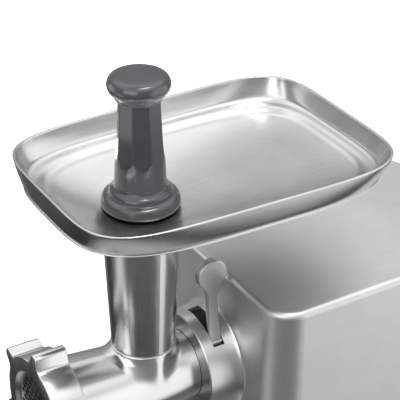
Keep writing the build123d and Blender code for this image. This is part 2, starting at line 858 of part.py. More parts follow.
nut_radius = 48
lug_tip_radius = 59
lug_count, first_lug = 6, 4
opening_radius = 33.5

with BuildPart() as ring_nut:
    with BuildSketch(facing_front(nut_rear_y)):
        Circle(nut_radius)
        with PolarLocations(0, lug_count, start_angle=90 - first_lug):
            Polygon(
                (nut_radius - 2, -7.5), (nut_radius + 1, -6), (lug_tip_radius, -3.6), (lug_tip_radius, 3.6),
                (nut_radius + 1, 6), (nut_radius - 2, 7.5), align=None,
            )
    extrude(amount=nut_rear_y - nut_front_y)
    tips = [
        e for e in ring_nut.edges().filter_by(Axis.Y)
        if Vector(e.center().X, e.center().Z - axis_z).length > lug_tip_radius - 2
    ]
    fillet(tips, 2.6)
    chamfer(ring_nut.faces().sort_by(Axis.Y)[0].edges(), 0.8)
    with BuildSketch(facing_front(nut_rear_y)):
        Circle(thread_radius + clearance)
    extrude(amount=nut_rear_y - head_front_y + 0.1, mode=Mode.SUBTRACT)
    with BuildSketch(facing_front(nut_rear_y)):
        Circle(opening_radius)
    extrude(amount=30, mode=Mode.SUBTRACT)
    with BuildSketch(lathe(axis_z)):
        with BuildLine():
            Polyline(
                (nut_front_y, 0), (nut_front_y, opening_radius + 2.5), (nut_front_y + 2.5, opening_radius),
                (nut_front_y + 2.5, 0), close=True,
            )
        make_face()
    revolve(axis=fore_and_aft(axis_z), mode=Mode.SUBTRACT)
save(ring_nut, "ring_nut")

# ---------------------------------------------------------------- auger and knife

core_radius = 11
flight_front_y, flight_rear_y = -178, -80
flight_turns = 2.75
flight_gap = 0.9
square = 9.8
pin_radius = 4.8            # auger's front pin, in the middle of the plate
knife_rear_y = -182

with BuildSketch(facing_front(flight_rear_y)) as flight_section:
    Circle(core_radius)
    with BuildLine():
        add(sector(0, 58, 2, bore_radius - flight_gap))
    make_face()
flight = Solid.extrude_linear_with_rotation(
    flight_section.sketch.faces()[0],
    center=(0, flight_rear_y, axis_z),
    normal=(0, flight_front_y - flight_rear_y, 0),
    angle=360 * flight_turns,
)

with BuildPart() as auger:
    add(flight)
    with BuildSketch(lathe(axis_z)):
        with BuildLine():
            Polyline(
                (knife_rear_y, 0), (knife_rear_y, core_radius), (flight_front_y, core_radius),
                (flight_front_y, core_radius - 1), (flight_rear_y - 1, core_radius - 1),
                (flight_rear_y - 1, core_radius + 9), (bore_end_y - 2.5, core_radius + 9),
                (bore_end_y - 2.5, shank_radius), (-40, shank_radius), (-40, 0), close=True,
            )
        make_face()
    revolve(axis=fore_and_aft(axis_z))
    with BuildSketch(facing_front(-23)):
        RegularPolygon(hex_across / 2, 6, major_radius=False)
    extrude(amount=18)
    with BuildSketch(facing_front(knife_rear_y)):
        Rectangle(square, square)
    extrude(amount=knife_rear_y - seat_y)
    with BuildSketch(facing_front(knife_rear_y)):
        Circle(pin_radius)
    extrude(amount=knife_rear_y - seat_y + plate_thickness - 0.4)
save(auger, "auger")

bush("auger_washer", bore_end_y - 2.3, 2, shank_radius + running, 21, axis_z)

with BuildPart() as cutting_knife:
    with BuildSketch(facing_front(knife_rear_y)):
        Circle(12)
        with PolarLocations(0, 4):
            Polygon((0, -6), (31.5, -3), (32, 4), (8, 9), (0, 6), align=None)
        Rectangle(square + 0.1, square + 0.1, mode=Mode.SUBTRACT)
    extrude(amount=knife_rear_y - seat_y - 0.1)
save(cutting_knife, "cutting_knife")

# ---------------------------------------------------------------- tray and pusher

tray_half_width, tray_half_length = 93.6, 132.4
throat_radius = 25.7
seat_radius = 34
tray_points = 48
rim_squareness, foot_squareness = 5.2, 3.7
wall_height = 22


def tray_section(half_w, half_l, middle_y, z, squareness, spread=0.022):
    """Face with bowed sides and round corners: |x/w|^n + |y/l|^n = 1, a little wider at the back."""
    outline = []
    for step in range(tray_points):
        turn = 2 * pi * (step + 0.5) / tray_points
        c, s = cos(turn), sin(turn)
        along = abs(s) ** (2 / squareness) * (1 if s > 0 else -1)
        across = abs(c) ** (2 / squareness) * (1 if c > 0 else -1)
        width = half_w + spread * half_l * along
        outline.append((width * across, middle_y + half_l * along, z))
    return Face(Wire([Edge.make_spline(outline, periodic=True)]))


def tray_body(shrink, lift, top):
    """Stack of outlines from the rim down to the ring that sits on the feed tube."""
    half_w, half_l = tray_half_width - shrink, tray_half_length - shrink
    return [
        tray_section(half_w, half_l, tray_y, top, rim_squareness),
        tray_section(half_w - 3, half_l - 1.5, tray_y, rim_z - wall_height + lift, foot_squareness),
        tray_section(half_w - 18, half_l - 16, tray_y, rim_z - wall_height - 3 + lift, foot_squareness),
        tray_section(seat_radius, seat_radius, tube_y, floor_z + lift, 2, 0),
    ]


with BuildPart() as tray:
    loft(tray_body(0, 0, rim_z), ruled=True)
    loft(tray_body(tray_sheet, tray_sheet, rim_z), ruled=True, mode=Mode.SUBTRACT)
    with BuildSketch(upright):
        with BuildLine():
            Polyline(
                (throat_radius, floor_z + tray_sheet), (throat_radius, floor_z - 11),
                (throat_radius + 1.2, floor_z - 11), (throat_radius + 1.2, floor_z),
                (seat_radius - 1, floor_z),
                (seat_radius - 1, floor_z + tray_sheet), close=True,
            )
        make_face()
    revolve(axis=tube_axis)
    with BuildSketch(Plane.XY.offset(floor_z - 20)):
        with Locations((0, tube_y)):
            Circle(throat_radius)
    extrude(amount=30, mode=Mode.SUBTRACT)
save(tray, "tray")

pusher_base_z = floor_z + tray_sheet + 0.05
knob_z = axis_z + 264.3
knob_radius = 23.1
ram_radius = 21.5
ram_bottom_z = axis_z + 72

with BuildPart() as pusher:
    with BuildSketch(upright):
        with BuildLine():
            Polyline(
                (0, ram_bottom_z), (ram_radius, ram_bottom_z), (ram_radius, pusher_base_z),
                (28, pusher_base_z),
                (30, pusher_base_z + 4), (30, pusher_base_z + 8), (28, pusher_base_z + 11),
                (24.5, pusher_base_z + 12), (23.5, pusher_base_z + 17), (19.8, pusher_base_z + 21),
                (16.4, knob_z - 14), (18, knob_z - 12), (18, knob_z - 9), (knob_radius, knob_z - 3),
                (knob_radius, knob_z + 2), (20.5, knob_z + 4.4), (0, knob_z + 5.1), close=True,
            )
        make_face()
    revolve(axis=tube_axis)
save(pusher, "pusher")
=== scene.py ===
import json
import math
import bmesh
import bpy
from mathutils import Matrix, Vector


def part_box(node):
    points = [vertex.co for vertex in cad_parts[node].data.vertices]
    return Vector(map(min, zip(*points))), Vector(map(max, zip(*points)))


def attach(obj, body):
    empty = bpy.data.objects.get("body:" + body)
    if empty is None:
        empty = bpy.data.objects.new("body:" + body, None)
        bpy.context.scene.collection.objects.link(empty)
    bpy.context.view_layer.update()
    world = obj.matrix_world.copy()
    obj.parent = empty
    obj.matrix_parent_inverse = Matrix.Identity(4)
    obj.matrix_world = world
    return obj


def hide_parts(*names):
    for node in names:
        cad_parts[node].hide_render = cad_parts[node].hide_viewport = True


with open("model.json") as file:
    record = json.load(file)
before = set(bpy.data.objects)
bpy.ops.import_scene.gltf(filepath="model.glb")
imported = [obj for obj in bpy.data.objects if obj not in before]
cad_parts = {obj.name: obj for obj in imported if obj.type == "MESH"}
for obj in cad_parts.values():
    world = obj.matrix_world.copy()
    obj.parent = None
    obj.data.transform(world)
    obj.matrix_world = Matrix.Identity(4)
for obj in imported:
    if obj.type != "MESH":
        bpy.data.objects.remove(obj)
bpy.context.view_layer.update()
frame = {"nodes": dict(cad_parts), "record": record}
nodes = frame["nodes"]
scene = bpy.context.scene
mm = 0.001
print("frame loaded:", len(nodes), "nodes")


def middleOf(node):
    low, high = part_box(node)
    return (low + high) / 2


axisZ = middleOf("ring_nut").z  # barrel, auger and nut share this line
tubeY = middleOf("pusher").y

# ---- materials: every colour is an sRGB hex value


def linearColour(hexCode):
    channels = [int(hexCode[i:i + 2], 16) / 255 for i in (1, 3, 5)]
    return [c / 12.92 if c <= 0.04045 else ((c + 0.055) / 1.055) ** 2.4 for c in channels] + [1]


def addNode(tree, kind, values=None, links=None, **settings):
    node = tree.nodes.new("ShaderNode" + kind)
    for name, setting in settings.items():
        setattr(node, name, setting)
    for socket, value in (values or {}).items():
        node.inputs[socket].default_value = value
    for socket, source in (links or {}).items():
        tree.links.new(source, node.inputs[socket])
    return node


def newMaterial(name):
    material = bpy.data.materials.new(name)
    material.use_nodes = True
    material.node_tree.nodes.clear()
    return material, material.node_tree


def finishMaterial(tree, shader):
    addNode(tree, "OutputMaterial", links={"Surface": shader.outputs["BSDF"]})


def grainNoise(tree, coordinates, grain, detail=3):
    # grain: how long one fleck is along x, y and z, in millimetres
    stretched = addNode(
        tree, "Mapping", {"Scale": [1 / (length * mm) for length in grain]}, {"Vector": coordinates}
    )
    noise = addNode(
        tree, "TexNoise", {"Scale": 1, "Detail": detail, "Roughness": 0.6},
        {"Vector": stretched.outputs["Vector"]},
    )
    return noise.outputs["Fac"]


def metalFinish(name, look):
    material, tree = newMaterial(name)
    place = addNode(tree, "TexCoord")
    grain = grainNoise(tree, place.outputs["Object"], look["grain"])
    if "secondGrain" in look:  # the brushing turns where the surface does
        other = grainNoise(tree, place.outputs["Object"], look["secondGrain"])
        if "turnsAbove" in look:
            split = addNode(tree, "SeparateXYZ", links={"Vector": place.outputs["Object"]})
            share = addNode(
                tree, "MapRange", {"From Min": look["turnsAbove"], "From Max": look["turnsAbove"] + 6 * mm},
                {"Value": split.outputs["Z"]},
            )
        else:
            split = addNode(tree, "SeparateXYZ", links={"Vector": place.outputs["Normal"]})
            square = addNode(tree, "Math", {1: 2}, {0: split.outputs["Y"]}, operation="POWER")
            share = addNode(
                tree, "MapRange", {"From Min": 0.3, "From Max": 0.7}, {"Value": square.outputs["Value"]}
            )
        grain = addNode(
            tree, "Mix", links={0: share.outputs["Result"], 2: grain, 3: other}, data_type="FLOAT"
        ).outputs[0]
    cloud = grainNoise(tree, place.outputs["Object"], [look["cloud"]] * 3, 2)
    both = addNode(tree, "Mix", {0: 0.45}, {2: grain, 3: cloud}, data_type="FLOAT").outputs[0]
    colour = addNode(
        tree, "Mix", {6: linearColour(look["dark"]), 7: linearColour(look["light"])}, {0: both},
        data_type="RGBA",
    )
    low, high = look["roughness"]
    rough = addNode(
        tree, "MapRange", {"From Min": 0.3, "From Max": 0.7, "To Min": low, "To Max": high}, {"Value": both}
    )
    bump = addNode(
        tree, "Bump", {"Strength": look["bump"], "Distance": 0.05 * mm}, {"Height": grain}
    )
    shader = addNode(
        tree, "BsdfPrincipled", {"Metallic": 1, "Anisotropic": look.get("anisotropy", 0)},
        {
            "Base Color": colour.outputs[2], "Roughness": rough.outputs["Result"],
            "Normal": bump.outputs["Normal"],
        },
    )
    finishMaterial(tree, shader)
    return material


def mouldedFinish(name, look):
    material, tree = newMaterial(name)
    place = addNode(tree, "TexCoord")
    grain = grainNoise(tree, place.outputs["Object"], [look["texture"]] * 3)
    cloud = grainNoise(tree, place.outputs["Object"], [look["cloud"]] * 3, 2)
    colour = addNode(
        tree, "Mix", {6: linearColour(look["dark"]), 7: linearColour(look["light"])}, {0: cloud},
        data_type="RGBA",
    )
    low, high = look["roughness"]
    rough = addNode(
        tree, "MapRange", {"From Min": 0.3, "From Max": 0.7, "To Min": low, "To Max": high}, {"Value": cloud}
    )
    bump = addNode(
        tree, "Bump", {"Strength": look["bump"], "Distance": 0.05 * mm}, {"Height": grain}
    )
    shader = addNode(
        tree, "BsdfPrincipled",
        {"IOR": look["ior"], "Coat Weight": look.get("coat", 0), "Coat Roughness": 0.06},
        {
            "Base Color": colour.outputs[2], "Roughness": rough.outputs["Result"],
            "Normal": bump.outputs["Normal"],
        },
    )
    finishMaterial(tree, shader)
    return material


# grain is in millimetres along x, y and z; brushing is drawn about twice as coarse as it is, so that it shows
metals = {
    "brushed_stainless": {  # 304 sheet, satin brushed: soft wide highlights
        "grain": (0.7, 45, 0.7), "secondGrain": (45, 0.7, 0.7), "cloud": 60,
        "dark": "#B2B2B3", "light": "#DCDCDC", "roughness": (0.41, 0.47), "bump": 0.08,
    },
    "tray_stainless": {  # pressed 304 sheet, brushed along the tray, brighter than the housing
        "grain": (0.6, 110, 0.6), "cloud": 50, "dark": "#AEADAC", "light": "#D6D6D5",
        "roughness": (0.2, 0.28), "bump": 0.08,
    },
    "polished_casting": {  # cast aluminium, turned and polished: long bright streaks
        "grain": (0.9, 50, 0.9), "secondGrain": (0.9, 0.9, 50), "turnsAbove": 0.196, "cloud": 25,
        "dark": "#C2C2C3", "light": "#D8D8D8", "roughness": (0.19, 0.28), "bump": 0.18,
    },
    "satin_casting": {  # cast aluminium, fine turned
        "grain": (0.8, 40, 0.8), "cloud": 20, "dark": "#BDBDBE", "light": "#D2D2D2",
        "roughness": (0.27, 0.36), "bump": 0.15,
    },
    "lever_metal": {  # zinc casting, bead blasted: an even light grey
        "grain": (0.5, 0.5, 0.5), "cloud": 12, "dark": "#D6D6D7", "light": "#E2E2E3",
        "roughness": (0.42, 0.5), "bump": 0.2,
    },
    "tool_steel": {  # ground flat
        "grain": (20, 0.5, 0.5), "cloud": 15, "dark": "#A9A9AB", "light": "#C4C4C6",
        "roughness": (0.2, 0.32), "bump": 0.2,
    },
    "zinc_steel": {  # bright zinc plating
        "grain": (0.4, 0.4, 0.4), "cloud": 5, "dark": "#A8AAB0", "light": "#C3C5CA",
        "roughness": (0.25, 0.4), "bump": 0.2,
    },
    "cast_grey": {  # sand cast aluminium, left as cast
        "grain": (0.9, 0.9, 0.9), "cloud": 18, "dark": "#8B8C8E", "light": "#A5A6A8",
        "roughness": (0.5, 0.65), "bump": 0.7,
    },
    "gear_steel": {  # hobbed steel, a little oil on it
        "grain": (0.5, 12, 0.5), "cloud": 9, "dark": "#7C7C80", "light": "#9B9BA0",
        "roughness": (0.22, 0.4), "bump": 0.25,
    },
    "bronze": {  # sintered bush
        "grain": (0.4, 0.4, 0.4), "cloud": 6, "dark": "#97703C", "light": "#B98F54",
        "roughness": (0.35, 0.5), "bump": 0.4,
    },
    "lamination_steel": {  # stacked sheets with varnish on the edges
        "grain": (30, 0.5, 30), "cloud": 14, "dark": "#4E5056", "light": "#6C6E74",
        "roughness": (0.4, 0.55), "bump": 0.8,
    },
    "copper": {  # enamelled winding wire
        "grain": (0.6, 18, 0.6), "cloud": 8, "dark": "#8F4A22", "light": "#C0713C",
        "roughness": (0.25, 0.4), "bump": 0.8,
    },
}
mouldings = {
    "grey_plastic": {  # glossy ABS, mould polished
        "texture": 0.7, "cloud": 30, "dark": "#303336", "light": "#393C3F",
        "roughness": (0.16, 0.24), "bump": 0.04, "ior": 1.54, "coat": 0.4,
    },
    "black_plastic": {  # polypropylene with a fine spark texture
        "texture": 0.6, "cloud": 20, "dark": "#18181A", "light": "#242427",
        "roughness": (0.45, 0.6), "bump": 0.6, "ior": 1.49,
    },
    "black_rubber": {  # moulded rubber, dull
        "texture": 0.8, "cloud": 10, "dark": "#161616", "light": "#222222",
        "roughness": (0.7, 0.85), "bump": 0.5, "ior": 1.52,
    },
    "carbon": {  # pressed graphite
        "texture": 0.3, "cloud": 4, "dark": "#151515", "light": "#262626",
        "roughness": (0.5, 0.7), "bump": 0.4, "ior": 1.6,
    },
    "board_green": {  # solder mask over glass laminate
        "texture": 0.5, "cloud": 8, "dark": "#0E3B20", "light": "#14502C",
        "roughness": (0.25, 0.4), "bump": 0.2, "ior": 1.5,
    },
    "green_button": {  # ABS, semi gloss
        "texture": 0.5, "cloud": 8, "dark": "#1B6E3A", "light": "#228548",
        "roughness": (0.3, 0.4), "bump": 0.15, "ior": 1.54,
    },
    "dark_button": {  # ABS, semi gloss
        "texture": 0.5, "cloud": 8, "dark": "#303134", "light": "#3C3D41",
        "roughness": (0.3, 0.4), "bump": 0.15, "ior": 1.54,
    },
}
finishes = {name: metalFinish(name, look) for name, look in metals.items()}
finishes.update({name: mouldedFinish(name, look) for name, look in mouldings.items()})
for part in frame["record"]["subparts"]:
    mesh = nodes[part["node"]].data
    mesh.materials.clear()
    mesh.materials.append(finishes[part["material_slot"]])
print("materials made:", len(finishes))

# ---- shaping helpers


def addPiece(name, bm, finish, body, stands=(), sharp=40):
    bmesh.ops.remove_doubles(bm, verts=bm.verts, dist=0.005 * mm)
    bmesh.ops.recalc_face_normals(bm, faces=bm.faces)
    mesh = bpy.data.meshes.new(name)
    bm.to_mesh(mesh)
    bm.free()
    mesh.shade_smooth()
    mesh.set_sharp_from_angle(angle=math.radians(sharp))
    mesh.materials.append(finishes[finish])
    piece = bpy.data.objects.new(name, mesh)
    scene.collection.objects.link(piece)
    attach(piece, body)
    if stands:
        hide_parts(*stands)
    return piece


def addModifier(piece, kind, **settings):
    modifier = piece.modifiers.new(kind.lower(), kind)
    for name, setting in settings.items():
        setattr(modifier, name, setting)
    return modifier


def turnProfile(bm, profile, steps=96):
    # profile: radius, height and corner rounding, in millimetres, round the z axis
    corners = [bm.verts.new((radius * mm, 0, height * mm)) for radius, height, _ in profile]
    for pair in zip(corners, corners[1:]):
        bm.edges.new(pair)
    for corner, (_, _, rounding) in zip(corners, profile):
        if rounding:
            bmesh.ops.bevel(
                bm, geom=[corner], offset=rounding * mm, offset_type="OFFSET", affect="VERTICES",
                segments=5, profile=0.5, material=-1,
            )
    bmesh.ops.spin(
        bm, geom=bm.verts[:] + bm.edges[:], cent=(0, 0, 0), axis=(0, 0, 1), angle=2 * math.pi,
        steps=steps, use_merge=True,
    )


def ringBody(bm, rings, count, place):
    # each ring is pulled out of the one before it, and place() says where its points go
    number = bm.verts.layers.int.new("number")
    bmesh.ops.create_circle(bm, segments=count, radius=1)
    bm.verts.ensure_lookup_table()
    for i, vert in enumerate(bm.verts):
        vert[number] = i
    edges, verts = bm.edges[:], bm.verts[:]
    for turn, ring in enumerate(rings):
        if turn:
            made = bmesh.ops.extrude_edge_only(bm, edges=edges)["geom"]
            verts = [item for item in made if isinstance(item, bmesh.types.BMVert)]
            edges = [item for item in made if isinstance(item, bmesh.types.BMEdge) and item.is_boundary]
        for vert in verts:
            vert.co = Vector(place(ring, 2 * math.pi * (vert[number] + 0.5) / count)) * mm
    bm.verts.layers.int.remove(number)


def smoothStep(value):
    value = min(max(value, 0), 1)
    return value * value * (3 - 2 * value)


# ---- tray: one pressed sheet, from the rim down to the neck in the feed tube

trayLook = {
    "halfWidth": 93.6, "spread": 0.022, "sheet": 1.4, "points": 144, "throat": 25.7, "seat": 32,
    # in from the rim across, in along, down from the rim, squareness of the outline
    "inside": [
        (22, 20.5, 23.1, 3.9), (18.6, 17, 22.7, 3.9), (16.8, 15.2, 21.9, 3.9), (15.2, 13.6, 20.3, 4),
        (13.6, 12, 19.2, 4), (11, 9.4, 18.6, 4.1), (8.4, 6.8, 18.2, 4.2), (6.6, 5.1, 17.2, 4.3),
        (5.7, 4.3, 15.4, 4.4), (4.6, 3.6, 11.5, 4.6), (3.2, 2.8, 6, 5), (2.3, 2.2, 1, 5.2),
        (2.1, 2.1, 0.25, 5.2),
    ],
    "outside": [
        (1.8, 1.8, 0, 5.2), (0.3, 0.3, 0, 5.2), (0, 0, 0.35, 5.2), (0.1, 0.1, 1.2, 5.2), (0.8, 0.5, 8, 4.8),
        (1.8, 1, 14, 4.2), (2.6, 1.4, 18.8, 3.8), (3.6, 2.2, 19.8, 3.7), (3.7, 2.3, 20.4, 3.7),
        (2.4, 1.2, 20.9, 3.7),
        (2.4, 1.2, 21.6, 3.7), (3.4, 2, 22.1, 3.7), (12, 10, 22.6, 3.8), (18, 16.5, 24.4, 3.9),
    ],
}
trayLow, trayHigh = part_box("tray")
trayMiddle = (trayLow.y + trayHigh.y) / 2 / mm
trayHalfLength = (trayHigh.y - trayLow.y) / 2 / mm
rimHeight = trayHigh.z / mm
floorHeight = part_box("head_casting")[1].z / mm + trayLook["sheet"]  # the sheet rests on the feed tube


def placeOnTray(ring, turn):
    kind = ring[0]
    if kind == "neck":
        radius, height = ring[1:]
        return radius * math.cos(turn), tubeY / mm + radius * math.sin(turn), floorHeight + height
    insetWidth, insetLength, drop, squareness = ring[1:] if kind == "wall" else trayLook["inside"][0]
    along = math.copysign(abs(math.sin(turn)) ** (2 / squareness), math.sin(turn))
    across = math.copysign(abs(math.cos(turn)) ** (2 / squareness), math.cos(turn))
    length = trayHalfLength - insetLength
    width = trayLook["halfWidth"] - insetWidth + trayLook["spread"] * length * along
    point = Vector((width * across, trayMiddle + length * along, rimHeight - drop))
    if kind == "floor":  # the floor falls gently from its edge to the throat
        share, under = ring[1:]
        seat = Vector(placeOnTray(("neck", trayLook["seat"], 0), turn))
        fall = point.z + (seat.z - point.z) * share ** 0.85 - under
        point = point.lerp(seat, share)
        point.z = fall
    return point


throat, sheet = trayLook["throat"], trayLook["sheet"]
floorSteps = (0.06, 0.16, 0.3, 0.46, 0.62, 0.78, 0.9, 1)
trayRings = [
    ("neck", throat, -12.2), ("neck", throat, -4), ("neck", throat + 0.2, -1.8), ("neck", throat + 1.2, -0.5),
    ("neck", throat + 3.4, -0.1),
]
trayRings += [("floor", share, 0) for share in reversed(floorSteps)]
trayRings += [("wall", *row) for row in trayLook["inside"] + trayLook["outside"]]
trayRings += [("floor", share, sheet) for share in floorSteps]
trayRings += [("neck", throat + 2.4, -sheet), ("neck", throat + 1.3, -2.6), ("neck", throat + 1.2, -12.2)]
trayRings += trayRings[:1]
bm = bmesh.new()
ringBody(bm, trayRings, trayLook["points"], placeOnTray)
tray = addPiece("pressed_tray", bm, "tray_stainless", "tray", ["tray"], 75)
addModifier(tray, "SUBSURF", levels=1, render_levels=1)
print("tray pressed")

# ---- pusher: moulded knob, fluted stem, stepped flange and ram

pusherLook = {
    "base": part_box("pusher")[1].z / mm - 107.45, "ram": 21.5, "knob": 23.6, "flange": 30.6,
    "stemFoot": 19.9, "stemTop": 16.6, "stemStart": 19, "stemLength": 70.5, "flutes": 8, "fluteStart": 22,
}
base = pusherLook["base"]
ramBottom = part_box("pusher")[0].z / mm


def pusherProfile():
    foot, top, knob = pusherLook["stemFoot"], pusherLook["stemTop"], pusherLook["knob"]
    start, length, flange = base + pusherLook["stemStart"], pusherLook["stemLength"], pusherLook["flange"]
    stem = [(foot + (top - foot) * step / 24, start + length * step / 24, 0) for step in range(25)]
    return [
        (0, ramBottom + 1.5, 0), (pusherLook["ram"] - 2.5, ramBottom, 1.2),
        (pusherLook["ram"], ramBottom + 3, 1.5),
        (pusherLook["ram"], base - 0.05, 0.4), (27, base, 1), (30, base + 2, 2), (flange, base + 6.2, 3),
        (28.7, base + 10.6, 2.6), (24.6, base + 11.6, 0.8), (24.4, base + 15.2, 2.2), (21.4, base + 17.2, 1.4),
    ] + stem + [
        (18.2, base + 90.2, 0.8), (18.4, base + 92.2, 0.6), (20.6, base + 94.6, 1.6), (knob, base + 98, 2.8),
        (knob, base + 104.4, 3.2), (19.8, base + 107.7, 2.4), (15, base + 108.1, 2), (0, base + 108.4, 0),
    ]


bm = bmesh.new()
turnProfile(bm, pusherProfile(), 96)
for vert in bm.verts:  # the flutes are flats that run out in a round end towards the flange
    height, radius = vert.co.z / mm - base, vert.co.xy.length
    if 18.9 < height < 89.6 and radius > 14 * mm:
        sector = 2 * math.pi / pusherLook["flutes"]
        around = math.atan2(vert.co.y, vert.co.x) % sector - sector / 2
        depth = smoothStep((height - pusherLook["fluteStart"]) / 30) * (1 - math.cos(sector / 2)) * 1.25
        flat = pusherLook["stemTop"] * mm * (1 + (89.5 - height) / 70.5 * 0.2)
        limit = flat * (1 - depth) / math.cos(around) + (1 - smoothStep((height - 22) / 34)) * 2 * mm
        if limit < radius:
            vert.co.xy *= limit / radius
bmesh.ops.translate(bm, verts=bm.verts, vec=(0, tubeY, 0))
addPiece("moulded_pusher", bm, "grey_plastic", "pusher", ["pusher"], 50)
print("pusher moulded")

# ---- ring nut: cast ring with lugs and a chamfered mouth

nutLook = {
    "radius": 48, "lugTip": 59, "lugs": 6, "firstLug": 4, "lugHalf": 4.1, "lugFoot": 7.4,
    "footRound": 3.2, "tipRound": 2.9, "mouth": 36, "opening": 33.5, "thread": 40.9, "arcSteps": 8,
}
nutFront, nutRear = (corner.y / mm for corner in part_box("ring_nut"))


def aroundAxis(across, outward, degrees):
    turn = math.radians(degrees)
    x = across * math.cos(turn) + outward * math.sin(turn)
    z = outward * math.cos(turn) - across * math.sin(turn)
    return x * mm, z * mm + axisZ


def nutRing():
    bm = bmesh.new()
    radius, half, foot = nutLook["radius"], nutLook["lugHalf"], nutLook["lugFoot"]
    spacing = 360 / nutLook["lugs"]
    outline = []
    for lug in range(nutLook["lugs"]):
        middle = nutLook["firstLug"] + lug * spacing
        rise = math.sqrt(radius ** 2 - foot ** 2)
        corners = [
            (-foot, rise, nutLook["footRound"]), (-half, nutLook["lugTip"], nutLook["tipRound"]),
            (half, nutLook["lugTip"], nutLook["tipRound"]), (foot, rise, nutLook["footRound"]),
        ]
        outline += [(aroundAxis(across, out, middle), rounding) for across, out, rounding in corners]
        footAngle = math.degrees(math.asin(foot / radius)) + 4.5
        arcSteps = nutLook["arcSteps"]
        outline += [
            (aroundAxis(0, radius, middle + footAngle + (spacing - 2 * footAngle) * step / arcSteps), 0)
            for step in range(arcSteps + 1)
        ]
    verts = [bm.verts.new((x, nutRear * mm, z)) for (x, z), _ in outline]
    for first, second in zip(verts, verts[1:] + verts[:1]):
        bm.edges.new((first, second))
    for rounding in (nutLook["footRound"], nutLook["tipRound"]):
        rounds = [vert for vert, (_, size) in zip(verts, outline) if size == rounding]
        bmesh.ops.bevel(
            bm, geom=rounds, offset=rounding * mm, offset_type="OFFSET", affect="VERTICES",
            segments=5, profile=0.5, material=-1,
        )
    rear = bm.edges[:]
    made = bmesh.ops.extrude_edge_only(bm, edges=rear)["geom"]
    front = [item for item in made if isinstance(item, bmesh.types.BMEdge) and item.is_boundary]
    bmesh.ops.translate(
        bm, verts=[item for item in made if isinstance(item, bmesh.types.BMVert)],
        vec=(0, (nutFront - nutRear) * mm, 0),
    )
    inside = [
        (nutLook["mouth"], nutFront), (nutLook["opening"], nutFront + 2.5),
        (nutLook["opening"], nutFront + 3.5),
        (nutLook["thread"], nutFront + 3.5), (nutLook["thread"], nutRear),
    ]
    turned = Matrix.Translation((0, 0, axisZ)) @ Matrix.Rotation(math.radians(90), 4, "X")
    circle = bmesh.ops.create_circle(bm, segments=144, radius=inside[0][0] * mm, matrix=turned)["verts"]
    bmesh.ops.translate(bm, verts=circle, vec=(0, nutFront * mm, 0))
    loop = list({edge for vert in circle for edge in vert.link_edges})
    bmesh.ops.bridge_loops(bm, edges=front + loop)
    edges = loop
    for (wasRadius, _), (radius, y) in zip(inside, inside[1:]):
        made = bmesh.ops.extrude_edge_only(bm, edges=edges)["geom"]
        ring = [item for item in made if isinstance(item, bmesh.types.BMVert)]
        edges = [item for item in made if isinstance(item, bmesh.types.BMEdge) and item.is_boundary]
        for vert in ring:
            vert.co.x *= radius / wasRadius
            vert.co.z = axisZ + (vert.co.z - axisZ) * radius / wasRadius
            vert.co.y = y * mm
    bmesh.ops.bridge_loops(bm, edges=rear + edges)
    bmesh.ops.recalc_face_normals(bm, faces=bm.faces)
    corners = [
        edge for edge in bm.edges
        if len(edge.link_faces) == 2 and edge.calc_face_angle() > math.radians(60)
        and all(vertRadius(vert) > (nutLook["mouth"] + 1) * mm for vert in edge.verts)
        and abs(edge.verts[0].co.y - edge.verts[1].co.y) < 0.1 * mm
        and vertRadius(edge.verts[0]) > 44 * mm
    ]
    bmesh.ops.bevel(
        bm, geom=corners, offset=0.9 * mm, offset_type="OFFSET", affect="EDGES", segments=3, profile=0.5,
        material=-1,
    )
    return bm


def vertRadius(vert):
    return math.hypot(vert.co.x, vert.co.z - axisZ)


addPiece("lugged_nut", nutRing(), "polished_casting", "ring_nut", ["ring_nut"], 35)
print("nut cast")

# ---- feed tube's foot: a turned bead, and the cast saddle that runs from it into the barrel

saddleLook = {
    "tube": 25.2, "bead": 26.8, "height": 36.6, "forward": -2, "reach": 33, "cover": 0.99, "run": 0.64,
    "barrelFront": 38, "barrelRear": 28.9,
}
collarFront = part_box("front_collar")[0].y / mm


def barrelRadius(y):
    share = (y - nutRear) / (collarFront - nutRear)
    return saddleLook["barrelFront"] + (saddleLook["barrelRear"] - saddleLook["barrelFront"]) * share


def placeOnSaddle(ring, turn):
    kind = ring[0]
    foot = axisZ / mm + saddleLook["height"]
    if kind == "turned":
        radius, height = ring[1:]
        return radius * math.cos(turn), tubeY / mm + radius * math.sin(turn), foot + height
    share, under = ring[1:]
    top = Vector(placeOnSaddle(("turned", saddleLook["bead"], -0.8), turn))
    y = tubeY / mm + saddleLook["forward"] + saddleLook["reach"] * math.sin(turn)
    barrel = barrelRadius(y)
    x = barrel * saddleLook["cover"] * math.cos(turn)
    low = Vector((x, y, axisZ / mm + math.sqrt(barrel ** 2 - x ** 2)))
    outward = Vector((x, 0, low.z - axisZ / mm)).normalized()
    rise = top - low
    bend = low + (rise - outward * rise.dot(outward)) * saddleLook["run"]  # leaves the barrel along its surface
    point = top * (1 - share) ** 2 + bend * 2 * share * (1 - share) + low * share ** 2
    return point - outward * under


tube, bead = saddleLook["tube"], saddleLook["bead"]
saddleRings = [("turned", tube, 0.9), ("turned", 25.9, 0.9), ("turned", 26.6, 0.4), ("turned", bead, -0.2)]
saddleRings += [("flow", step / 12, 0) for step in range(12)]
saddleRings += [("flow", 1, 0.05), ("flow", 1, 2.5), ("turned", tube, -5), ("turned", tube, 0.9)]
bm = bmesh.new()
ringBody(bm, saddleRings, 96, placeOnSaddle)
addPiece("tube_saddle", bm, "polished_casting", "head", sharp=50)
print("tube foot cast")

# ---- lock lever: flat bent bar with a round head, on the cam in the collar's slot

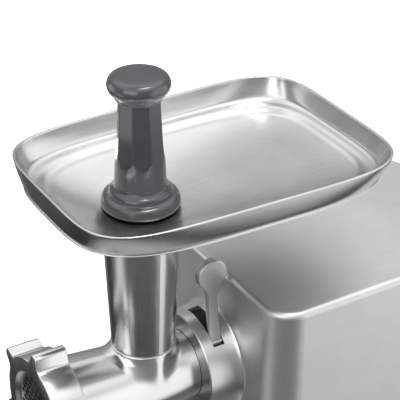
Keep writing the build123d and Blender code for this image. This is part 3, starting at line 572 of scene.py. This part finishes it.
leverLook = {
    "headRadius": 13.1, "stemHalf": 4.2, "neck": 15, "thick": 6.5,
    # first and last angle, inner and outer radius, half length
    "cam": (28, 41, 41.3, 43.4, 4.6), "slot": (-13.8, 44.8, 40.7, 41.1, 4.9),
    "bend": [(190, 28.6), (205, 25), (220, 22.3), (240, 21), (270, 20.8)],  # height, and outer face across
}
leverLow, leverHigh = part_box("lock_lever")
leverY = (leverLow.y + leverHigh.y) / 2 / mm
leverTop = leverHigh.z / mm
headMiddle = leverTop - leverLook["headRadius"]
leverRoot = 190


def leverHalfWidth(height):
    radius, stem, neck = leverLook["headRadius"], leverLook["stemHalf"], leverLook["neck"]
    reach = math.sqrt((radius + neck) ** 2 - (stem + neck) ** 2)  # from the head's middle down to the stem
    join = headMiddle - reach * radius / (radius + neck)
    if height > join:
        return math.sqrt(max(radius ** 2 - (height - headMiddle) ** 2, 0))
    if height > headMiddle - reach:
        return stem + neck - math.sqrt(neck ** 2 - (height - headMiddle + reach) ** 2)
    return stem


def bendAt(height):
    rows = leverLook["bend"]
    for (low, near), (high, far) in zip(rows, rows[1:]):
        if height <= high or high == rows[-1][0]:
            share = (height - low) / (high - low)
            return near + (far - near) * share
    return rows[-1][1]


def smoothBend(height):
    return sum(bendAt(min(max(height + shift, 190), 270)) for shift in range(-8, 9, 2)) / 9


def leverBar():
    bm = bmesh.new()
    rows, columns = 60, 8
    bmesh.ops.create_grid(bm, x_segments=columns, y_segments=rows, size=1)
    top = headMiddle + leverLook["headRadius"] * 0.985
    for vert in bm.verts:
        up, across = (vert.co.y + 1) / 2, vert.co.x
        if up <= 0.6:
            height = leverRoot + (headMiddle - leverRoot) * up / 0.6
        else:
            height = headMiddle + (top - headMiddle) * math.sin((up - 0.6) / 0.4 * math.pi / 2)
        vert.co = Vector((0, leverY + leverHalfWidth(height) * across, height)) * mm
    made = bmesh.ops.extrude_face_region(bm, geom=bm.faces[:])["geom"]
    moved = [item for item in made if isinstance(item, bmesh.types.BMVert)]
    bmesh.ops.translate(bm, verts=moved, vec=(-leverLook["thick"] * mm, 0, 0))
    bmesh.ops.recalc_face_normals(bm, faces=bm.faces)
    corners = [edge for edge in bm.edges if edge.calc_face_angle(0) > math.radians(60)]
    bmesh.ops.bevel(
        bm, geom=corners, offset=0.8 * mm, offset_type="OFFSET", affect="EDGES", segments=3, profile=0.5,
        material=-1,
    )
    for vert in bm.verts:
        vert.co.x += smoothBend(vert.co.z / mm) * mm
    return bm


def addSector(bm, firstAngle, lastAngle, inner, outer, halfLength):
    # a slice of a ring round the barrel's line, angles in degrees from the top
    front, rear = leverY - halfLength, leverY + halfLength
    verts = bmesh.ops.create_grid(bm, x_segments=24, y_segments=1, size=1)["verts"]
    for vert in verts:
        angle = firstAngle + (lastAngle - firstAngle) * (vert.co.x + 1) / 2
        x, z = aroundAxis(0, inner + (outer - inner) * (vert.co.y + 1) / 2, angle)
        vert.co = x, front * mm, z
    faces = list({face for vert in verts for face in vert.link_faces})
    made = bmesh.ops.extrude_face_region(bm, geom=faces)["geom"]
    moved = [item for item in made if isinstance(item, bmesh.types.BMVert)]
    bmesh.ops.translate(bm, verts=moved, vec=(0, (rear - front) * mm, 0))


bm = leverBar()
addSector(bm, *leverLook["cam"])
addPiece("lever_bar", bm, "lever_metal", "lock_ring", ["lock_lever"], 35)
# a black strip inside the collar's slot, beside the lever: painted shade, so that the slot reads dark
bm = bmesh.new()
addSector(bm, *leverLook["slot"])
addPiece("slot_shade_strip", bm, "black_rubber", "housing")
print("lever bent")

# ---- floor, light and camera


def softbox(name, place, aim, size, power, tint="#FFFFFF"):
    light = bpy.data.lights.new(name, "AREA")
    light.shape = "RECTANGLE"
    light.size, light.size_y = size
    light.energy = power
    light.color = linearColour(tint)[:3]
    lamp = bpy.data.objects.new(name, light)
    lamp.location = place
    lamp.rotation_euler = (Vector(aim) - Vector(place)).to_track_quat("-Z", "Y").to_euler()
    lamp.visible_camera = False
    scene.collection.objects.link(lamp)


studio = {
    "floor": "#F4F4F3", "floorGlow": 0.45, "below": 0.27, "above": 0.45,
    # soft glows in the surroundings: where, inner and outer angle in degrees, level
    "glows": [
        ((0, 0, 1), 45, 64, 0.95), ((0, 0, 1), 28, 48, 0.4), ((0, 0, 1), 10, 33, -0.75),
        ((0.62, 0.7, -0.1), 30, 43, 1.2),
        ((0, 0, -1), 49, 58, -0.22), ((0, 0, -1), 12, 40, 0.55), ((-0.18, -0.9, -0.42), 5, 22, 1),
        ((-0.72, -0.68, -0.08), 8, 24, 1.3), ((-0.72, -0.4, -0.55), 6, 22, -0.2),
    ],
}
bm = bmesh.new()
bmesh.ops.create_grid(bm, x_segments=8, y_segments=8, size=45)
floorMesh = bpy.data.meshes.new("studio_floor")
bm.to_mesh(floorMesh)
bm.free()
floor = bpy.data.objects.new("studio_floor", floorMesh)
scene.collection.objects.link(floor)
material, tree = newMaterial("pale_floor")
place = addNode(tree, "TexCoord")
cloud = grainNoise(tree, place.outputs["Object"], (400, 400, 400), 2)
shade = addNode(
    tree, "Mix", {6: linearColour("#F1F1F0"), 7: linearColour(studio["floor"])}, {0: cloud}, data_type="RGBA"
)
finishMaterial(tree, addNode(
    tree, "BsdfPrincipled",
    {"Roughness": 0.9, "Emission Color": (1, 1, 1, 1), "Emission Strength": studio["floorGlow"]},
    {"Base Color": shade.outputs[2]},
))
floorMesh.materials.append(material)
floor.visible_glossy = False  # the metal mirrors the studio's walls, not the floor
floor.visible_shadow = False

world = bpy.data.worlds.new("studio")
scene.world = world
world.use_nodes = True
tree = world.node_tree
tree.nodes.clear()
direction = addNode(tree, "TexCoord").outputs["Generated"]
split = addNode(tree, "SeparateXYZ", links={"Vector": direction})
level = addNode(
    tree, "MapRange", {"From Min": -0.3, "From Max": 0.4, "To Min": studio["below"], "To Max": studio["above"]},
    {"Value": split.outputs["Z"]}, interpolation_type="SMOOTHSTEP",
).outputs["Result"]
for towards, inner, outer, strength in studio["glows"]:
    facing = addNode(
        tree, "VectorMath", {1: Vector(towards).normalized()}, {0: direction}, operation="DOT_PRODUCT"
    )
    glow = addNode(
        tree, "MapRange",
        {
            "From Min": math.cos(math.radians(outer)), "From Max": math.cos(math.radians(inner)),
            "To Max": strength,
        },
        {"Value": facing.outputs["Value"]}, interpolation_type="SMOOTHSTEP",
    )
    level = addNode(tree, "Math", links={0: level, 1: glow.outputs["Result"]}, operation="ADD").outputs["Value"]
level = addNode(tree, "Math", {1: 0.03}, {0: level}, operation="MAXIMUM").outputs["Value"]
backdrop = addNode(tree, "Background", links={"Color": level})
addNode(tree, "OutputWorld", links={"Surface": backdrop.outputs["Background"]})

softbox("front_window", (1.0, -1.8, 1.15), (0, -0.1, 0.35), (1.8, 1.1), 14)
softbox("overhead", (0.3, 0.2, 2.4), (0, 0, 0.2), (1.0, 0.5), 18)

lens = bpy.data.cameras.new("camera")
lens.lens = 130.56
lens.sensor_width = 36
lens.shift_x, lens.shift_y = 0.0397, 0.0816
lens.clip_start, lens.clip_end = 0.05, 40
camera = bpy.data.objects.new("camera", lens)
camera.location = (0.8319, -0.5509, 0.8765)
camera.rotation_euler = (math.radians(90 - 31.519), 0, math.radians(59.669))
scene.collection.objects.link(camera)
scene.camera = camera
scene.view_settings.view_transform = "Standard"
print("studio ready")
